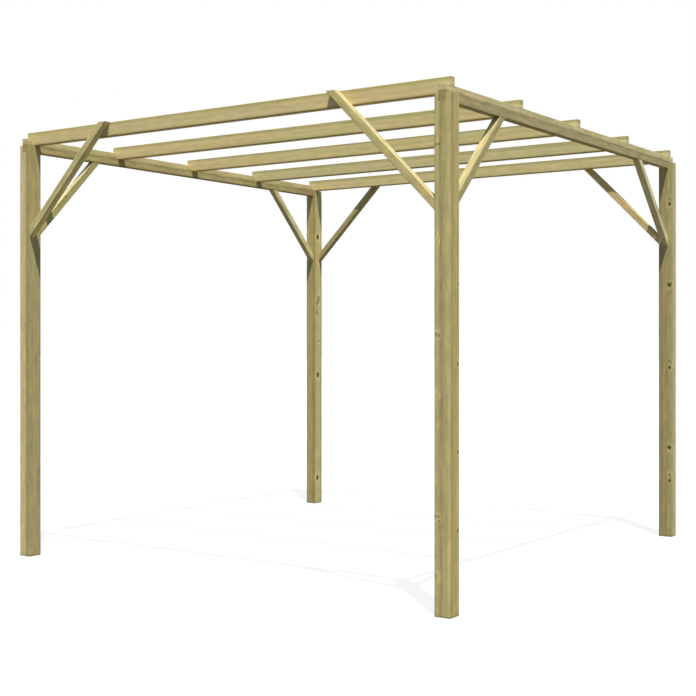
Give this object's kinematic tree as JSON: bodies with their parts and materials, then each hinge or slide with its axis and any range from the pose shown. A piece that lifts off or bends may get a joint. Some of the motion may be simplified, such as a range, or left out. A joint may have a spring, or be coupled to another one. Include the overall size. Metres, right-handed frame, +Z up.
{
  "type": "wooden pergola",
  "caption": "Open timber garden pergola: square posts with slotted heads carry side beams, rafters are lapped over the beams, and diagonal braces stiffen every corner.",
  "frame": {"origin": "on the ground, midway between the four posts", "axes": "+X along the rafters to the right, +Y along the beams to the back, +Z up"},
  "size_m": [3.046, 3.046, 2.6],
  "materials": {
    "post_timber": "planed, pressure-treated softwood, matt",
    "beam_timber": "planed, pressure-treated softwood, matt",
    "rafter_timber": "planed, pressure-treated softwood, matt",
    "brace_timber": "planed, pressure-treated softwood, matt",
    "screw_steel": "dull coated steel, countersunk screw heads"
  },
  "bodies": {
    "root": {"post_front_left": "post_timber", "post_front_right": "post_timber", "post_back_left": "post_timber", "post_back_right": "post_timber", "beam_left": "beam_timber", "beam_right": "beam_timber", "rafter_front": "rafter_timber", "rafter_second": "rafter_timber", "rafter_middle": "rafter_timber", "rafter_fourth": "rafter_timber", "rafter_back": "rafter_timber", "cross_brace_front_left": "brace_timber", "cross_brace_front_right": "brace_timber", "cross_brace_back_left": "brace_timber", "cross_brace_back_right": "brace_timber", "side_brace_front_left": "brace_timber", "side_brace_front_right": "brace_timber", "side_brace_back_left": "brace_timber", "side_brace_back_right": "brace_timber"}
  },
  "joints": []
}
